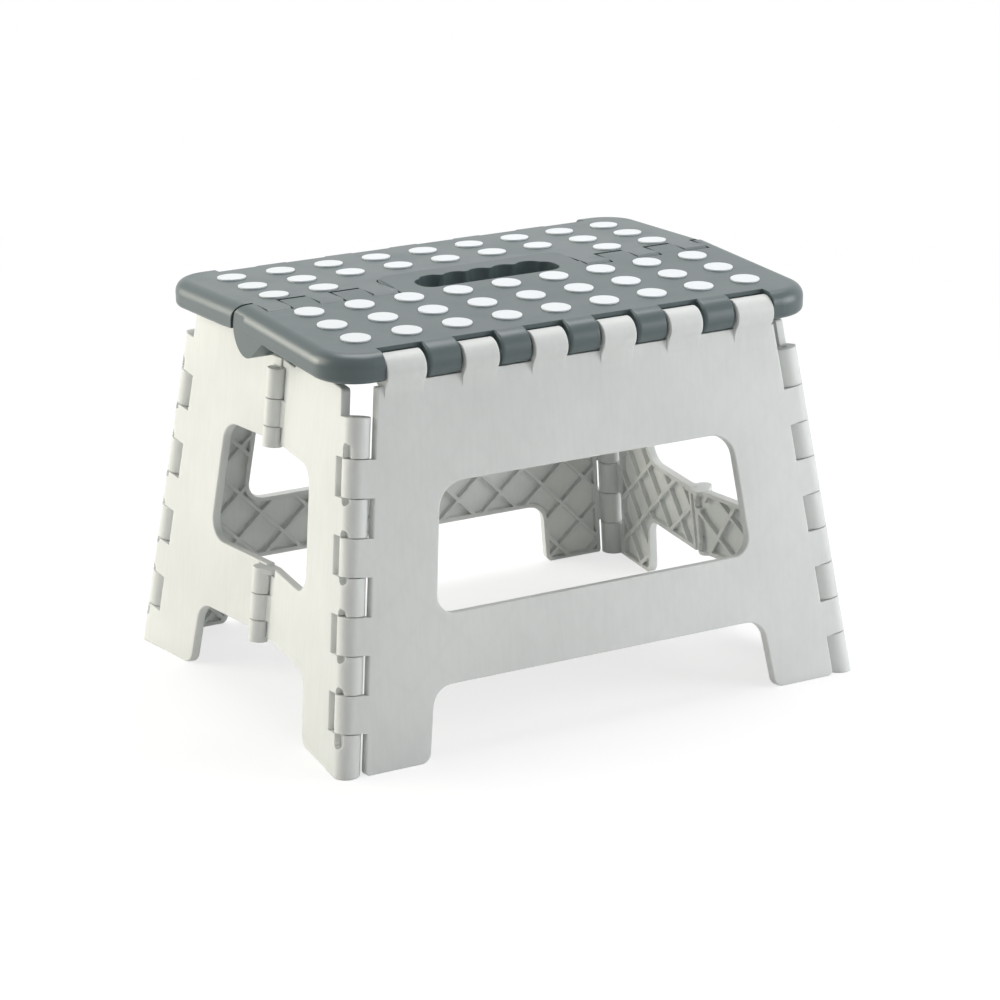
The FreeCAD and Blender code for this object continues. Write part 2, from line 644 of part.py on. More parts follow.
def barrel_section():
    """Side profile of a hinge barrel on the front edge of a half of the top."""
    y = EDGE_LOCAL.y
    z = EDGE_LOCAL.z
    brow = V(0, -FRONT_SLOT, 0)
    nose = V(0, y - BARREL_FRONT_R, z)
    chin = V(0, y, z - BARREL_FRONT_R)
    run = brow.y - nose.y
    brow_r = (run ** 2 + z ** 2) / (2 * run)
    brow_centre = V(0, nose.y + brow_r, z)
    brow_mid = brow_centre + (brow + nose - brow_centre * 2).normalize() * brow_r
    part_turn = math.sqrt(0.5)
    nose_mid = V(0, y - BARREL_FRONT_R * part_turn, z - BARREL_FRONT_R * part_turn)
    root_low = V(0, -FRONT_SLOT + OVER, -TOP_DEPTH)
    root_high = V(0, -FRONT_SLOT + OVER, 0)
    edges = [Part.makeLine(root_high, brow), Part.Arc(brow, brow_mid, nose).toShape(),
             Part.Arc(nose, nose_mid, chin).toShape(), Part.makeLine(chin, root_low),
             Part.makeLine(root_low, root_high)]
    return Part.Face(Part.Wire(edges))


def front_barrels():
    """Barrels between the leg's knuckles."""
    spans = both_ends(BARREL_SPANS) + [(-BARREL_MIDDLE_HALF, BARREL_MIDDLE_HALF)]
    barrels = []
    for low, high in spans:
        face = barrel_section()
        face.translate(V(low + BARREL_SIDE_GAP, 0, 0))
        barrel = face.extrude(V(high - low - BARREL_SIDE_GAP, 0, 0))
        rims = []
        for edge in barrel.Edges:
            bounds = edge.BoundBox
            on_end = bounds.XLength < TINY
            if on_end and (isinstance(edge.Curve, Part.Circle) or bounds.ZMin > -TINY):
                rims.append(edge)
        barrels.append(barrel.makeFillet(BARREL_END_R, rims))
    return barrels


def tongue_outline(margin):
    """Plan of the handle tongue grown by a margin, from the ridge wall to its free end."""
    half = TONGUE_HALF + margin
    end = TONGUE_END + margin
    return [(-half, -RIDGE_WALL, 0), (half, -RIDGE_WALL, 0),
            (half, end, TONGUE_R + margin), (-half, end, TONGUE_R + margin)]


def grip_slot():
    """Finger slot through the tongue: straight in front, a hollow per finger behind."""
    low = -TOP_DEPTH - TONGUE_BOSS_R
    slot = prism([(-GRIP_HALF, -GRIP_FRONT, GRIP_R), (GRIP_HALF, -GRIP_FRONT, GRIP_R),
                  (GRIP_HALF, GRIP_REAR, GRIP_R), (-GRIP_HALF, GRIP_REAR, GRIP_R)], low, OVER)
    fingers = []
    for index in range(-FINGERS_EACH_SIDE, FINGERS_EACH_SIDE + 1):
        centre = V(index * FINGER_PITCH, FINGER_CENTRE, low)
        fingers.append(Part.makeCylinder(FINGER_R, OVER - low, centre))
    slot = slot.fuse(fingers).removeSplitter()
    crests = []
    for edge in slot.Edges:
        bounds = edge.BoundBox
        upright = bounds.XLength < TINY and bounds.YLength < TINY
        if upright and bounds.YMin > GRIP_REAR and abs(bounds.XMin) < FINGERS_EACH_SIDE * FINGER_PITCH:
            crests.append(edge)
    return slot.makeFillet(FINGER_CREST_R, crests)


def dot_places(front):
    """Dot centres on one half of the top, in its own frame."""
    places = []
    for row in DOT_ROWS:
        for column in range(-DOT_COLUMNS_EACH_SIDE, DOT_COLUMNS_EACH_SIDE + 1):
            at_handle = row == DOT_ROWS[0] and abs(column) < HANDLE_ROW_FIRST_COLUMN
            if front or not at_handle:
                places.append(V(column * DOT_PITCH_X, -row, -DOT_SET))
    return places


def make_top_half(front):
    """Half of the top in the front place; the front half carries the handle tongue."""
    back = TONGUE_END
    ridge_y = RIDGE_LOCAL.y
    ridge_z = RIDGE_LOCAL.z
    own = both_ends(FRONT_LOBES if front else REAR_LOBES)
    other = both_ends(REAR_LOBES if front else FRONT_LOBES)
    blank = top_blank(TOP_DEPTH, back)
    blank = rounded_edges(blank, -TOP_DEPTH, TOP_UNDER_ROUND, lambda edge: edge.BoundBox.YMin < back - TINY)
    half = blank.cut(top_recess(front))
    wide = TOP_HALF_LENGTH + OVER
    half = half.cut(box(V(-wide, ridge_y, -TOP_DEPTH - OVER), V(wide, back + OVER, OVER)))
    half = half.cut(ridge_trim(wide))
    envelope = top_blank(TOP_DEPTH + TOP_DEPTH, back)
    lobes = [rod_x(span, ridge_y, ridge_z, LOBE_R).common(envelope) for span in own]
    pockets = []
    for low, high in other:
        span = (low - LOBE_END_GAP, high + LOBE_END_GAP)
        pockets.append(rod_x(span, ridge_y, ridge_z, LOBE_R + LOBE_GAP))
    if front:
        lobes += [lobe_flank(span) for span in both_ends(FRONT_LOBES[-1:])]
    half = half.cut(pockets).fuse(lobes)
    if front:
        tongue = rounded_edges(prism(tongue_outline(0), -TONGUE_DEPTH, 0), 0, TONGUE_ROUND,
                               lambda edge: edge.BoundBox.YMax > TONGUE_END - TONGUE_R - TINY
                               and edge.BoundBox.YMin > -RIDGE_WALL + TINY)
        bosses = [rod_x(span, ridge_y, ridge_z, TONGUE_BOSS_R)
                  for span in both_ends([(TONGUE_BOSS_IN, TONGUE_HALF)])]
        half = half.fuse([tongue] + bosses).cut(grip_slot())
    else:
        space = prism(tongue_outline(TONGUE_GAP), -TOP_DEPTH - OVER, OVER)
        half = half.cut(half_turn(space))
    slot_low = V(-SLOT_HALF_LENGTH, -TOP_REACH - OVER, -TOP_DEPTH - OVER)
    half = half.cut(box(slot_low, V(SLOT_HALF_LENGTH, -FRONT_SLOT, OVER)))
    cuts = []
    for low, high in both_ends(EDGE_SPANS):
        span = (low - EDGE_KNUCKLE_GAP, high + EDGE_KNUCKLE_GAP)
        cuts.append(rod_x(span, EDGE_LOCAL.y, EDGE_LOCAL.z, EDGE_KNUCKLE_R + EDGE_KNUCKLE_GAP))
    cuts.append(rod_x((-SLOT_HALF_LENGTH, SLOT_HALF_LENGTH), EDGE_LOCAL.y, EDGE_LOCAL.z, EDGE_PIN_R + RUN))
    bore = RIDGE_PIN_R if front else RIDGE_PIN_R + RIDGE_PIN_SLACK
    for span in both_ends([(RIDGE_PIN_IN, RIDGE_PIN_OUT)]):
        cuts.append(rod_x(span, ridge_y, ridge_z, bore))
    cuts += [Part.makeCylinder(DOT_R + DOT_FIT, DOT_SET + OVER, place) for place in dot_places(front)]
    return placed(half.fuse(front_barrels()).cut(cuts).removeSplitter(), TOP_PLACE)


def make_dots(front):
    """Dots of one half of the top, as separate discs."""
    discs = [Part.makeCylinder(DOT_R, DOT_SET + DOT_PROUD, place) for place in dot_places(front)]
    return placed(Part.makeCompound(discs), TOP_PLACE)


def line_pin(foot, line, low, high, radius):
    """Pin along a hinge line between two heights."""
    start = foot + line * low
    return Part.makeCylinder(radius, line.Length * (high - low), start, line)


os.makedirs("parts", exist_ok=True)

leg = make_leg()
edge_pin = rod_x((-EDGE_PIN_END, EDGE_PIN_END), -EDGE_Y, EDGE_Z, EDGE_PIN_R)
corner_pin = line_pin(CORNER_FOOT, CORNER_LINE, CORNER_PIN_LOW_Z, CORNER_PIN_HIGH_Z, CORNER_PIN_R)
ridge_pin = rod_x((RIDGE_PIN_IN, RIDGE_PIN_OUT), 0, RIDGE_Z, RIDGE_PIN_R)
front_end = make_end_half(True, END_PIN_R + RUN)
front_end_open = make_end_half(True, END_PIN_R + OPEN_SLACK)
rear_end = make_end_half(False, END_PIN_R)

nodes = {
    "front_top": make_top_half(True),
    "rear_top": half_turn(make_top_half(False)),
    "front_dots": make_dots(True),
    "rear_dots": half_turn(make_dots(False)),
    "front_leg": leg,
    "rear_leg": half_turn(leg),
    "left_front_end": front_end,
    "left_rear_end": mirror_y(rear_end),
    "right_front_end": mirror_x(front_end_open),
    "right_rear_end": mirror_x(mirror_y(rear_end)),
    "front_edge_pin": edge_pin,
    "rear_edge_pin": half_turn(edge_pin),
    "left_ridge_pin": mirror_x(ridge_pin),
    "right_ridge_pin": ridge_pin,
    "front_left_corner_pin": corner_pin,
    "front_right_corner_pin": mirror_x(corner_pin),
    "rear_left_corner_pin": mirror_y(corner_pin),
    "rear_right_corner_pin": mirror_x(mirror_y(corner_pin)),
}
for level, marks in (("upper", UPPER_MARKS_Z), ("lower", LOWER_MARKS_Z)):
    pin = line_pin(MIDDLE_FOOT, MIDDLE_LINE, marks[0] + END_PIN_SET, marks[-1] - END_PIN_SET, END_PIN_R)
    nodes["left_" + level + "_end_pin"] = pin
    nodes["right_" + level + "_end_pin"] = mirror_x(pin)

for name, shape in nodes.items():
    shape.exportStep("parts/" + name + ".step")
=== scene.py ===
"""Looks of a folding step stool: satin slate top, white grip dots, light moulded legs and ends."""

import math

import bpy
import numpy as np
from bpy.props import FloatProperty, FloatVectorProperty, IntProperty, PointerProperty
from bpy.types import Operator, Panel, PropertyGroup
from mathutils import Matrix, Vector


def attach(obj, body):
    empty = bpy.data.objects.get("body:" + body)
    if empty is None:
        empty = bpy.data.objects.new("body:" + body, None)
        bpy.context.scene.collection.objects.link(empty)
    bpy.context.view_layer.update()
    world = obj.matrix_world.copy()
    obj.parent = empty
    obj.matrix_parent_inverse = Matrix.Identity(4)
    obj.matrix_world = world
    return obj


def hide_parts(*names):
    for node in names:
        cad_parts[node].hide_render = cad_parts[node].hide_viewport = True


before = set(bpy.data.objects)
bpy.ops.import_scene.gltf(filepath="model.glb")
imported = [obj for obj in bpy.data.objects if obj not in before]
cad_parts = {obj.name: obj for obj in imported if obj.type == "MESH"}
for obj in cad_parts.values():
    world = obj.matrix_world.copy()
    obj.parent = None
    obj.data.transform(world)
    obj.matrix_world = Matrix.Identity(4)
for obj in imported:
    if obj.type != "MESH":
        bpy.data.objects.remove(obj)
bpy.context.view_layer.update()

bl_info = {
    "name": "Folding step stool",
    "version": (1, 0, 0),
    "blender": (4, 5, 0),
    "location": "3D View > Sidebar > Stool",
    "description": "Dresses the folding step stool and sets its studio stage",
    "category": "Object",
}

TOP_HALVES = ("front_top", "rear_top")
LEGS = ("front_leg", "rear_leg")
ENDS = ("left_front_end", "left_rear_end", "right_front_end", "right_rear_end")
PINS = ("front_edge_pin", "rear_edge_pin", "left_ridge_pin", "right_ridge_pin",
        "front_left_corner_pin", "front_right_corner_pin", "rear_left_corner_pin", "rear_right_corner_pin",
        "left_upper_end_pin", "left_lower_end_pin", "right_upper_end_pin", "right_lower_end_pin")

WHITE = (1.0, 1.0, 1.0, 1.0)

# Grain: shares of the two noises in the height, coarse noise per fine one, and the slow change of tone
FINE_SHARE = 0.55
COARSE_SHARE = 0.45
COARSE_DENSITY = 0.22
TONE_DENSITY = 14.0
TONE_RANGE = (0.3, 0.7)

# Handling marks: turn and density of each set of streaks, their stretch, and the patches they keep to
STREAK_SETS = ((0.5, 900.0), (-0.9, 700.0))
STREAK_TILT = (0.2, 0.3)
STREAK_STRETCH = (1.0, 0.035, 0.6)
STREAK_RANGE = (0.70, 0.80)
PATCH_DENSITY = 32.0
PATCH_RANGE = (0.42, 0.72)

# Edges, rib sinks with their painted shade, and flow lines
EDGE_SAMPLES = 6
EDGE_RANGE = (0.02, 0.22)
SINK_HALF_WIDTH = 0.0034
FLOW_STRETCH = (1.0, 1.0, 0.03)
FLOW_RANGE = (0.3, 0.7)
FLOW_SHADE = (0.975, 0.975, 0.975, 1.0)

# Plastic: darkest and lightest tone, worn edges, streaks, and the painted shade of the sinks, as factors of the
# colour
PLASTIC_TONES = (0.96, 1.03)
WORN_SHADE = 1.35
STREAK_SHADE = 1.25
SINK_SHADE = 0.9
PLASTIC_PATCH_ROUGHNESS = 0.07
BUMP_DEPTH = 0.0002
SCATTER_REACH = 0.003

# Dots of rubber: tones, rubbed streaks, roughness and bump
DOT_TONES = (0.985, 1.01)
DOT_RUBBED_SHADE = 0.85
DOT_RUBBED = 0.12
DOT_ROUGHNESS = 0.55
DOT_PATCH_ROUGHNESS = 0.08
DOT_BUMP = 0.12
DOT_GRAIN = 0.6

# Steel pins: tones, roughness and bump
STEEL_TONES = (0.9, 1.05)
STEEL_ROUGHNESS = 0.28
STEEL_STREAK_ROUGHNESS = 0.2
STEEL_BUMP = 0.05
STEEL_BUMP_DEPTH = 0.0001
STEEL_GRAIN = 0.5

# Mesh of a dot: share of its flat at the first ring, rings on the crown and on the rim, and sharp edges
DOT_FIRST_RING = 0.15
DOT_RINGS = 6
DOT_SHARP = math.radians(50)

# Floor, with one grey for the light that it throws back and one under the shadow that is seen
FLOOR_HALF = 6.0
FLOOR_STEPS = 8
FLOOR_BOUNCE = (0.8, 0.8, 0.8, 1.0)
FLOOR_VEIL = (0.42, 0.42, 0.42, 1.0)
FLOOR_GLOW = 0.68

# Lamps: place and side of each, all turned to one point
LAMP_AIM = (0.0, 0.0, 0.1)
KEY_PLACE = (-1.25, 0.65, 0.65)
KEY_SIDE = 0.9
RIM_PLACE = (-1.0, 1.0, 0.3)
RIM_SIDE = 0.6
OVER_PLACE = (0.25, 0.25, 1.35)
OVER_SIDE = 0.9
FILL_PLACE = (0.95, -0.75, 0.42)
FILL_SIDE = 0.7
PLAIN_LIGHT = (1.0, 1.0, 1.0)

CAMERA_FRAME_MM = 36.0
CAMERA_NEAR = 0.05


class StoolDots(PropertyGroup):
    """Sizes of the grip dots, in the frame of the half of the top that carries them."""
    radius: FloatProperty(name="Radius", description="Radius of a dot", default=0.00795,
                          unit="LENGTH", precision=5)
    proud: FloatProperty(name="Proud", description="Height of a dot's rim over the top", default=0.00004,
                         unit="LENGTH", precision=5)
    crown: FloatProperty(name="Crown", description="Extra height of a dot's middle", default=0.00008,
                         unit="LENGTH", precision=5)
    sunk: FloatProperty(name="Sunk", description="Depth of a dot in its recess", default=0.0008,
                        unit="LENGTH", precision=5)
    rim: FloatProperty(name="Rim", description="Rounding of a dot's upper edge", default=0.0002,
                       unit="LENGTH", precision=5)
    pitch: FloatProperty(name="Pitch", description="Spacing of the columns", default=0.02965,
                         unit="LENGTH", precision=5)
    rows: FloatVectorProperty(name="Rows", description="Distances of the rows from the ridge",
                              default=(0.02135, 0.0481, 0.07485), size=3, unit="LENGTH", precision=5)
    columns: IntProperty(name="Columns", description="Columns on each side of the middle one",
                         default=4, min=1)
    handle_columns: IntProperty(
        name="Handle columns", default=2, min=0,
        description="Columns on each side that the handle takes from the first rear row")
    ridge: FloatProperty(name="Ridge", description="Height of the ridge", default=0.22, unit="LENGTH")
    fall: FloatProperty(name="Fall", description="Fall of each half of the top from the ridge",
                        default=math.radians(2.1), unit="ROTATION")
    turns: IntProperty(name="Steps", description="Steps round a dot", default=64, min=12)


class StoolFinish(PropertyGroup):
    """Colours and surface sizes of the moulded parts."""
    slate: FloatVectorProperty(name="Slate", description="Colour of the top", subtype="COLOR", size=4,
                               default=(0.078, 0.109, 0.113, 1.0), min=0.0, max=1.0)
    light: FloatVectorProperty(name="Light", description="Colour of the legs and ends", subtype="COLOR",
                               size=4, default=(0.80, 0.815, 0.80, 1.0), min=0.0, max=1.0)
    dot: FloatVectorProperty(name="Dots", description="Colour of the grip dots", subtype="COLOR", size=4,
                             default=(0.88, 0.915, 0.94, 1.0), min=0.0, max=1.0)
    steel: FloatVectorProperty(name="Steel", description="Colour of the hinge pins", subtype="COLOR", size=4,
                               default=(0.58, 0.59, 0.60, 1.0), min=0.0, max=1.0)
    grain: FloatProperty(name="Grain", description="Size of the mould's fine grain", default=0.0006,
                         unit="LENGTH", precision=5)
    edge: FloatProperty(name="Edge", description="Softness of the moulded edges", default=0.0006,
                        unit="LENGTH", precision=5)
    slope: FloatProperty(name="Slope", description="Length of a leg for each unit of its height",
                         default=1.00891)


class StoolStage(PropertyGroup):
    """Camera and lamps of the studio."""
    azimuth: FloatProperty(name="Azimuth", description="Camera's turn round the stool", unit="ROTATION",
                           default=math.radians(-29.0511))
    elevation: FloatProperty(name="Elevation", description="Camera's height angle", unit="ROTATION",
                             default=math.radians(17.7252))
    roll: FloatProperty(name="Roll", description="Camera's tilt", unit="ROTATION",
                        default=math.radians(-0.6146))
    stand: FloatVectorProperty(name="Stand", description="Place of the camera", subtype="XYZ", unit="LENGTH",
                               default=(-0.88612, -1.60690, 0.67701))
    lens: FloatProperty(name="Lens", description="Focal length on a 36 mm frame", unit="CAMERA",
                        default=124.579)
    key: FloatProperty(name="Key", description="Power of the lamp behind the left side", unit="POWER",
                       default=7.4)
    rim: FloatProperty(name="Rim", description="Power of the lamp far behind the left side", unit="POWER",
                       default=6.5)
    over: FloatProperty(name="Overhead", description="Power of the lamp over the top", unit="POWER",
                        default=8.7)
    fill: FloatProperty(name="Fill", description="Power of the lamp before the right side", unit="POWER",
                        default=6.7)
    warm: FloatVectorProperty(name="Warm", description="Colour of the lamps behind the left side",
                              subtype="COLOR", default=(1.0, 0.97, 0.85), min=0.0, max=1.0)
    cool: FloatVectorProperty(name="Cool", description="Colour of the lamp before the right side",
                              subtype="COLOR", default=(0.97, 1.0, 1.0), min=0.0, max=1.0)
    sky: FloatProperty(name="Sky", description="Strength of the even light from all round",
                       default=0.30, min=0.0)
    pool: FloatVectorProperty(name="Pool", description="Radii between which the floor fades to plain white",
                              default=(0.45, 1.1), size=2, unit="LENGTH")


def node(tree, kind, sockets=None, **settings):
    """Adds a shader node, sets its settings, and fills or links its sockets by name or place."""
    made = tree.nodes.new(kind)
    for key, value in settings.items():
        setattr(made, key, value)
    for key, value in (sockets or {}).items():
        if isinstance(value, bpy.types.NodeSocket):
            tree.links.new(value, made.inputs[key])
        else:
            made.inputs[key].default_value = value
    return made


def group(name, inputs, outputs):
    """New shader node group with its sockets, and its inside ends."""
    tree = bpy.data.node_groups.new(name, "ShaderNodeTree")
    for label, kind, default in inputs:
        socket = tree.interface.new_socket(name=label, in_out="INPUT", socket_type=kind)
        if default is not None:
            socket.default_value = default
    for label, kind in outputs:
        tree.interface.new_socket(name=label, in_out="OUTPUT", socket_type=kind)
    return tree, tree.nodes.new("NodeGroupInput"), tree.nodes.new("NodeGroupOutput")


def math_node(tree, operation, first, second=0.0, third=0.0):
    """Output of one sum, product or other step of arithmetic."""
    return node(tree, "ShaderNodeMath", {0: first, 1: second, 2: third}, operation=operation).outputs[0]


def ramp(tree, value, low, high):
    """Value stretched so that low becomes 0 and high becomes 1, held between them."""
    made = node(tree, "ShaderNodeMapRange", {"Value": value, "From Min": low, "From Max": high},
                interpolation_type="SMOOTHSTEP")
    return made.outputs["Result"]


def mix(tree, amount, first, second, blend="MIX"):
    """Colour mixed from two colours."""
    made = node(tree, "ShaderNodeMix", {0: amount, 6: first, 7: second}, data_type="RGBA", blend_type=blend)
    return made.outputs[2]


def moulded_grain():
    """Fine mould texture: two sizes of noise for the height, and a broad slow noise for the tone."""
    tree, start, end = group("moulded_grain", [("Vector", "NodeSocketVector", None),
                                               ("Density", "NodeSocketFloat", 1600.0)],
                             [("Height", "NodeSocketFloat"), ("Tone", "NodeSocketFloat")])
    place, density = start.outputs["Vector"], start.outputs["Density"]
    fine = node(tree, "ShaderNodeTexNoise", {"Vector": place, "Scale": density, "Detail": 3.0,
                                             "Roughness": 0.6})
    coarse_scale = math_node(tree, "MULTIPLY", density, COARSE_DENSITY)
    coarse = node(tree, "ShaderNodeTexNoise", {"Vector": place, "Scale": coarse_scale, "Detail": 2.0})
    broad = node(tree, "ShaderNodeTexNoise", {"Vector": place, "Scale": TONE_DENSITY, "Detail": 4.0,
                                              "Roughness": 0.55})
    part = math_node(tree, "MULTIPLY", coarse.outputs["Fac"], COARSE_SHARE)
    height = math_node(tree, "MULTIPLY_ADD", fine.outputs["Fac"], FINE_SHARE, part)
    tree.links.new(height, end.inputs["Height"])
    tree.links.new(ramp(tree, broad.outputs["Fac"], *TONE_RANGE), end.inputs["Tone"])
    return tree


def handling_marks():
    """Fine rubbed streaks and soft patches left by hands and shoes."""
    tree, start, end = group("handling_marks", [("Vector", "NodeSocketVector", None)],
                             [("Streaks", "NodeSocketFloat"), ("Patches", "NodeSocketFloat")])
    place = start.outputs["Vector"]
    streaks = []
    for turn, density in STREAK_SETS:
        turned = node(tree, "ShaderNodeMapping", {"Vector": place, "Rotation": (*STREAK_TILT, turn),
                                                  "Scale": STREAK_STRETCH})
        lines = node(tree, "ShaderNodeTexNoise", {"Vector": turned.outputs[0], "Scale": density,
                                                  "Detail": 1.0})
        streaks.append(ramp(tree, lines.outputs["Fac"], *STREAK_RANGE))
    clouds = node(tree, "ShaderNodeTexNoise", {"Vector": place, "Scale": PATCH_DENSITY, "Detail": 5.0})
    patches = ramp(tree, clouds.outputs["Fac"], *PATCH_RANGE)
    both = math_node(tree, "MAXIMUM", *streaks)
    tree.links.new(math_node(tree, "MULTIPLY", both, patches), end.inputs["Streaks"])
    tree.links.new(patches, end.inputs["Patches"])
    return tree


def soft_edges():
    """Rounded look of moulded edges, and a mask of the edges themselves."""
    tree, start, end = group("soft_edges", [("Width", "NodeSocketFloat", 0.0006)],
                             [("Normal", "NodeSocketVector"), ("Edge", "NodeSocketFloat")])
    bevel = node(tree, "ShaderNodeBevel", {"Radius": start.outputs["Width"]}, samples=EDGE_SAMPLES)
    flat = node(tree, "ShaderNodeNewGeometry")
    turn = node(tree, "ShaderNodeVectorMath", {0: bevel.outputs["Normal"], 1: flat.outputs["Normal"]},
                operation="DOT_PRODUCT")
    away = math_node(tree, "SUBTRACT", 1.0, turn.outputs["Value"])
    tree.links.new(bevel.outputs["Normal"], end.inputs["Normal"])
    tree.links.new(ramp(tree, away, *EDGE_RANGE), end.inputs["Edge"])
    return tree


def rib_sink_shade():
    """Faint sinks over the crossing ribs, for their painted shade: how near a point is to the diagonal lines of
    an even lattice.
    """
    tree, start, end = group("rib_sink_shade", [("Vector", "NodeSocketVector", None),
                                           ("Spacing", "NodeSocketFloat", 0.0288),
                                           ("Start", "NodeSocketFloat", 0.0093),
                                           ("Slope", "NodeSocketFloat", 1.0)],
                             [("Sink", "NodeSocketFloat")])
    axes = node(tree, "ShaderNodeSeparateXYZ", {0: start.outputs["Vector"]}).outputs
    rise = math_node(tree, "MULTIPLY_ADD", axes["Z"], start.outputs["Slope"],
                     math_node(tree, "MULTIPLY", start.outputs["Start"], -1.0))
    half = math_node(tree, "MULTIPLY", start.outputs["Spacing"], 0.5)
    lines = []
    for operation in ("ADD", "SUBTRACT"):
        across = math_node(tree, operation, axes["X"], rise)
        off = math_node(tree, "PINGPONG", across, half)
        lines.append(ramp(tree, off, SINK_HALF_WIDTH, 0.0))
    tree.links.new(math_node(tree, "MAXIMUM", *lines), end.inputs["Sink"])
    return tree


def flow_lines():
    """Faint upright lines left by the flow of the plastic: noise drawn out along the height."""
    tree, start, end = group("flow_lines", [("Vector", "NodeSocketVector", None),
                                            ("Density", "NodeSocketFloat", 420.0)],
                             [("Lines", "NodeSocketFloat")])
    drawn = node(tree, "ShaderNodeMapping", {"Vector": start.outputs["Vector"], "Scale": FLOW_STRETCH})
    lines = node(tree, "ShaderNodeTexNoise", {"Vector": drawn.outputs[0], "Scale": start.outputs["Density"],
                                              "Detail": 2.0})
    tree.links.new(ramp(tree, lines.outputs["Fac"], *FLOW_RANGE), end.inputs["Lines"])
    return tree


def place_effect(tree, maker, sockets):
    """Puts a shared effect into a material and gives its outputs; the first use builds the effect's group."""
    made = bpy.data.node_groups.get(maker.__name__) or maker()
    return node(tree, "ShaderNodeGroup", sockets, node_tree=made).outputs


def shade(colour, factor):
    """Colour made darker or lighter by a factor."""
    return tuple(min(1.0, c * factor) for c in colour[:3]) + (1.0,)


def toned_material(name, colour, tones, density):
    """New material with the grain and the handling marks in it, and its colour between two tones."""
    material = bpy.data.materials.new(name)
    material.use_nodes = True
    tree = material.node_tree
    place = node(tree, "ShaderNodeTexCoord").outputs["Object"]
    grain = place_effect(tree, moulded_grain, {"Vector": place, "Density": density})
    marks = place_effect(tree, handling_marks, {"Vector": place})
    tone = mix(tree, grain["Tone"], *(shade(colour, factor) for factor in tones))
    return material, place, grain, marks, tone


def link_surface(tree, colour, rough, lift):
    """Feeds the shader its colour, roughness and lifted normal, and gives the shader's sockets."""
    sockets = tree.nodes["Principled BSDF"].inputs
    tree.links.new(colour, sockets["Base Color"])
    tree.links.new(rough, sockets["Roughness"])
    tree.links.new(lift.outputs["Normal"], sockets["Normal"])
    return sockets


def moulded_plastic(name, colour, finish, roughness, bump, worn, streak, sink_shading=0.0, index=1.5, depth=0.0):
    """Satin moulded plastic: grain, slow tone, rubbed edges, streaks, flow lines, and painted shade over the
    faint sinks above the ribs.
    """
    material, place, grain, marks, tone = toned_material(name, colour, PLASTIC_TONES, 1.0 / finish.grain)
    tree = material.node_tree
    edges = place_effect(tree, soft_edges, {"Width": finish.edge})
    rubbing = math_node(tree, "MULTIPLY", edges["Edge"], worn)
    rubbed = mix(tree, rubbing, tone, shade(colour, WORN_SHADE))
    streaking = math_node(tree, "MULTIPLY", marks["Streaks"], streak)
    marked = mix(tree, streaking, rubbed, shade(colour, STREAK_SHADE))
    if depth:
        flow = place_effect(tree, flow_lines, {"Vector": place})
        marked = mix(tree, 1.0, marked, mix(tree, flow["Lines"], FLOW_SHADE, WHITE), "MULTIPLY")
    # The faint sinks over the ribs are shown as painted shade: the colour darkens along the lattice lines.
    if sink_shading:
        ribs = place_effect(tree, rib_sink_shade, {"Vector": place, "Slope": finish.slope})
        painted_sink_shade = math_node(tree, "MULTIPLY", ribs["Sink"], sink_shading)
        marked = mix(tree, painted_sink_shade, marked, shade(colour, SINK_SHADE))
    rough = math_node(tree, "MULTIPLY_ADD", marks["Patches"], PLASTIC_PATCH_ROUGHNESS, roughness)
    lift = node(tree, "ShaderNodeBump", {"Strength": bump, "Distance": BUMP_DEPTH, "Height": grain["Height"],
                                         "Normal": edges["Normal"]})
    sockets = link_surface(tree, marked, rough, lift)
    sockets["IOR"].default_value = index
    sockets["Subsurface Weight"].default_value = depth
    sockets["Subsurface Radius"].default_value = (1.0, 1.0, 1.0)
    sockets["Subsurface Scale"].default_value = SCATTER_REACH
    return material


def dot_rubber(name, colour, finish):
    """Soft white grip rubber: fine speckle in tone and height, a little grey where it is rubbed."""
    material, _, grain, marks, tone = toned_material(name, colour, DOT_TONES, DOT_GRAIN / finish.grain)
    tree = material.node_tree
    rubbing = math_node(tree, "MULTIPLY", marks["Streaks"], DOT_RUBBED)
    rubbed = mix(tree, rubbing, tone, shade(colour, DOT_RUBBED_SHADE))
    rough = math_node(tree, "MULTIPLY_ADD", marks["Patches"], DOT_PATCH_ROUGHNESS, DOT_ROUGHNESS)
    lift = node(tree, "ShaderNodeBump", {"Strength": DOT_BUMP, "Distance": BUMP_DEPTH,
                                         "Height": grain["Height"]})
    link_surface(tree, rubbed, rough, lift)
    return material


def drawn_steel(name, colour, finish):
    """Steel wire: fine speckle in tone and height, rougher along its streaks."""
    material, _, grain, marks, tone = toned_material(name, colour, STEEL_TONES, STEEL_GRAIN / finish.grain)
    tree = material.node_tree
    rough = math_node(tree, "MULTIPLY_ADD", marks["Streaks"], STEEL_STREAK_ROUGHNESS, STEEL_ROUGHNESS)
    lift = node(tree, "ShaderNodeBump", {"Strength": STEEL_BUMP, "Distance": STEEL_BUMP_DEPTH,
                                         "Height": grain["Height"]})
    sockets = link_surface(tree, tone, rough, lift)
    sockets["Metallic"].default_value = 1.0
    return material


def dress(names, material):
    """Gives CAD nodes a material in place of their plain ones."""
    for name in names:
        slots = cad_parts[name].data.materials
        slots.clear()
        slots.append(material)


def dot_centres(dots, front):
    """Centres on the top, as (x, distance from the ridge), with the handle's columns left out at the rear."""
    column = np.arange(-dots.columns, dots.columns + 1)
    x, row = np.meshgrid(column, np.arange(len(dots.rows)))
    keep = np.ones_like(x, bool) if front else (row > 0) | (np.abs(x) > dots.handle_columns)
    return np.stack([x[keep] * dots.pitch, np.array(dots.rows)[row[keep]]], axis=1)


